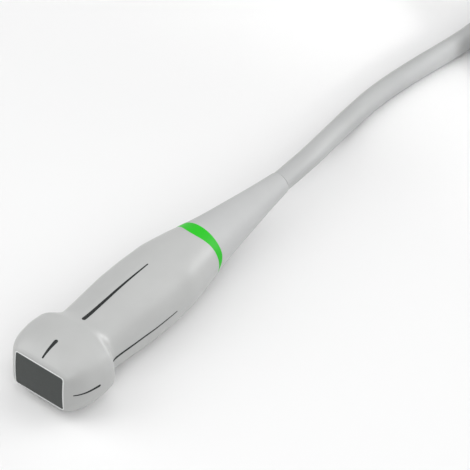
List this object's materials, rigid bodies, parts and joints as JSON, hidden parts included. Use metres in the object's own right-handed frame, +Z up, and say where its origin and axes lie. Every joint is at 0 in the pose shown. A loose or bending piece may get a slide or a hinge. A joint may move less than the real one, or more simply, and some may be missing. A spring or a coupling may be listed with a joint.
{
  "type": "ultrasound transducer probe",
  "caption": "Hand-held phased-array ultrasound probe with a flared nose, tapered strain relief, cable tied in a hank, and a flat system connector with a turning lock lever.",
  "frame": {"origin": "on the floor under the middle of the probe, half way from the lens face to the strain relief's end; the cable and what is on it are left out", "axes": "+Y from the lens to the cable along the probe, +Z up with the probe lying on its underside, +X across it"},
  "size_m": [0.0836, 0.4297, 0.0527],
  "materials": {
    "lens_rubber": "satin silicone",
    "matching_layer": "filled epoxy",
    "foil": "bright foil",
    "ceramic": "fired ceramic",
    "flex_film": "polyimide film",
    "backing": "filled rubber",
    "machined_metal": "machined",
    "screw_steel": "plain",
    "body_plastic": "satin, light grey",
    "dark_inlay": "satin, dark grey",
    "green_plastic": "satin, bright green",
    "relief_rubber": "soft satin, light grey",
    "board_laminate": "solder mask",
    "socket_plastic": "moulded",
    "shield_metal": "tinned sheet",
    "wire_film": "fine coaxial wires",
    "ferrule_metal": "plated",
    "cable_jacket": "smooth satin, light grey",
    "tie_strap": "hook and loop strap",
    "connector_metal": "die-cast, satin",
    "connector_plastic": "fine texture, light grey",
    "insulator": "glass-filled",
    "gold_contact": "gold plated",
    "brass_bush": "turned",
    "lock_steel": "turned",
    "lever_plastic": "satin, dark grey"
  },
  "bodies": {
    "probe": {"acoustic_lens": "lens_rubber", "outer_matching_layer": "matching_layer", "inner_matching_layer": "matching_layer", "ground_foil": "foil", "piezo_array": "ceramic", "flex_circuit": "flex_film", "backing_block": "backing", "stack_carrier": "machined_metal", "carrier_screws": "screw_steel", "nose_shell": "body_plastic", "nose_top_inlay": "dark_inlay", "nose_left_inlay": "dark_inlay", "nose_right_inlay": "dark_inlay", "grip_top_inlay": "dark_inlay", "grip_left_inlay": "dark_inlay", "grip_right_inlay": "dark_inlay", "upper_handle_shell": "body_plastic", "lower_handle_shell": "body_plastic", "green_band": "green_plastic", "strain_relief": "relief_rubber", "chassis": "machined_metal", "upper_board": "board_laminate", "lower_board": "board_laminate", "upper_flex_socket": "socket_plastic", "lower_flex_socket": "socket_plastic", "upper_coax_socket": "socket_plastic", "lower_coax_socket": "socket_plastic", "upper_shield": "shield_metal", "lower_shield": "shield_metal", "upper_coax_fan": "wire_film", "lower_coax_fan": "wire_film", "cable_clamp": "machined_metal", "clamp_screws": "screw_steel", "cable_inner_end": "cable_jacket", "crimp_ferrule": "ferrule_metal", "cable_run": "cable_jacket", "cable_hank": "cable_jacket", "cable_tail": "cable_jacket", "left_tie": "tie_strap", "right_tie": "tie_strap", "connector_shroud": "connector_metal", "connector_lower_housing": "connector_plastic", "connector_upper_housing": "connector_plastic", "housing_screws": "screw_steel", "connector_strain_relief": "relief_rubber", "contact_block": "insulator", "contacts": "gold_contact", "connector_board": "board_laminate", "connector_cable_end": "cable_jacket", "connector_cable_clamp": "machined_metal", "connector_coax_fan": "wire_film", "lock_bush": "brass_bush"},
    "lock": {"lock_lever": "lever_plastic", "lock_shaft": "lock_steel", "lever_screw": "screw_steel"}
  },
  "joints": [
    {"name": "lock_turn", "type": "hinge", "parent": "probe", "child": "lock", "pos_m": [0.032, 0.319, 0.0464], "axis": [0, 0, 1], "range_deg": [0, 90]}
  ]
}
